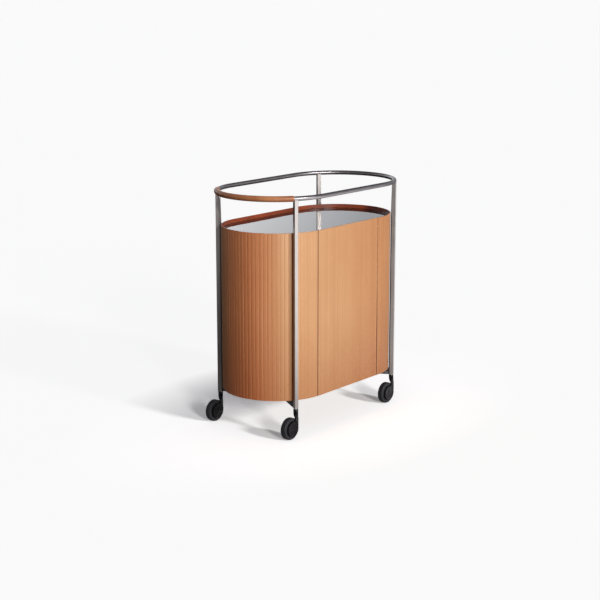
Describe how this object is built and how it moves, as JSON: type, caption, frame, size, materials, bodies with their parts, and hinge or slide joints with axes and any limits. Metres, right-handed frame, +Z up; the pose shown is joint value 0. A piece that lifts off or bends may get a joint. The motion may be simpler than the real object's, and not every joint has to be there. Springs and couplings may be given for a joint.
{
  "type": "cheese trolley",
  "caption": "Oval leather-clad serving trolley with a sunk glass top, front door, handrail ring and castors.",
  "frame": {"origin": "on the floor, under the middle of the overall length and depth", "axes": "+Z up; X along the long side with the leather-wrapped handle at -X; the door faces -Y"},
  "size_m": [0.7911, 0.433, 0.8522],
  "materials": {
    "gunmetal": "burnished dark steel, satin",
    "tan_leather": "smooth saddle leather, satin",
    "handle_leather": "stitched saddle leather, satin",
    "dark_leather": "dark brown lining leather, satin",
    "veneered_ply": "oiled veneer on plywood",
    "smoked_glass": "polished smoked glass",
    "black_enamel": "satin black enamel",
    "black_hub": "fine-grained black plastic",
    "tyre": "soft black tread",
    "bright_steel": "plain zinc-plated steel"
  },
  "bodies": {
    "frame": {"handrail_tube": "gunmetal", "handrail_leather": "handle_leather", "upright_front_left": "gunmetal", "upright_front_right": "gunmetal", "upright_back_left": "gunmetal", "upright_back_right": "gunmetal", "arm_front_left": "gunmetal", "arm_front_right": "gunmetal", "arm_back_left": "gunmetal", "arm_back_right": "gunmetal", "spine_plate": "gunmetal", "cabinet_bolts": "bright_steel", "base_panel": "veneered_ply", "left_end_shell": "veneered_ply", "right_end_shell": "veneered_ply", "back_panel": "veneered_ply", "left_end_leather": "tan_leather", "right_end_leather": "tan_leather", "back_leather": "tan_leather", "left_jamb": "veneered_ply", "right_jamb": "veneered_ply", "shelf": "veneered_ply", "shelf_pins": "bright_steel", "tray_panel": "veneered_ply", "glass_top": "smoked_glass", "rim_lining": "dark_leather", "hinge_bracket_top": "bright_steel", "hinge_bracket_bottom": "bright_steel", "hinge_pins": "bright_steel", "hinge_screws": "bright_steel", "catch_body": "black_hub", "castor_bushes": "bright_steel"},
    "door": {"door_panel": "veneered_ply", "door_leather": "tan_leather", "door_rim_lining": "dark_leather", "catch_strike": "bright_steel"},
    "castor_front_left": {"castor_arm_front_left": "black_enamel", "castor_axle_front_left": "black_enamel"},
    "wheel_front_left": {"wheel_hub_front_left": "black_hub", "wheel_tyre_front_left": "tyre"},
    "castor_front_right": {"castor_arm_front_right": "black_enamel", "castor_axle_front_right": "black_enamel"},
    "wheel_front_right": {"wheel_hub_front_right": "black_hub", "wheel_tyre_front_right": "tyre"},
    "castor_back_left": {"castor_arm_back_left": "black_enamel", "castor_axle_back_left": "black_enamel"},
    "wheel_back_left": {"wheel_hub_back_left": "black_hub", "wheel_tyre_back_left": "tyre"},
    "castor_back_right": {"castor_arm_back_right": "black_enamel", "castor_axle_back_right": "black_enamel"},
    "wheel_back_right": {"wheel_hub_back_right": "black_hub", "wheel_tyre_back_right": "tyre"}
  },
  "joints": [
    {"name": "door_hinge", "type": "hinge", "parent": "frame", "child": "door", "pos_m": [0.1614, -0.1938, 0.41], "axis": [0, 0, 1], "range_deg": [0, 105]},
    {"name": "castor_front_left_swivel", "type": "hinge", "parent": "frame", "child": "castor_front_left", "pos_m": [-0.28673, -0.17576, 0.104], "axis": [0, 0, 1], "continuous": true},
    {"name": "wheel_front_left_roll", "type": "hinge", "parent": "castor_front_left", "child": "wheel_front_left", "pos_m": [-0.32073, -0.17576, 0.039], "axis": [0, 1, 0], "continuous": true},
    {"name": "castor_front_right_swivel", "type": "hinge", "parent": "frame", "child": "castor_front_right", "pos_m": [0.28893, -0.17576, 0.104], "axis": [0, 0, 1], "continuous": true},
    {"name": "wheel_front_right_roll", "type": "hinge", "parent": "castor_front_right", "child": "wheel_front_right", "pos_m": [0.25493, -0.17576, 0.039], "axis": [0, 1, 0], "continuous": true},
    {"name": "castor_back_left_swivel", "type": "hinge", "parent": "frame", "child": "castor_back_left", "pos_m": [-0.28673, 0.17576, 0.104], "axis": [0, 0, 1], "continuous": true},
    {"name": "wheel_back_left_roll", "type": "hinge", "parent": "castor_back_left", "child": "wheel_back_left", "pos_m": [-0.32073, 0.17576, 0.039], "axis": [0, 1, 0], "continuous": true},
    {"name": "castor_back_right_swivel", "type": "hinge", "parent": "frame", "child": "castor_back_right", "pos_m": [0.28893, 0.17576, 0.104], "axis": [0, 0, 1], "continuous": true},
    {"name": "wheel_back_right_roll", "type": "hinge", "parent": "castor_back_right", "child": "wheel_back_right", "pos_m": [0.25493, 0.17576, 0.039], "axis": [0, 1, 0], "continuous": true}
  ]
}
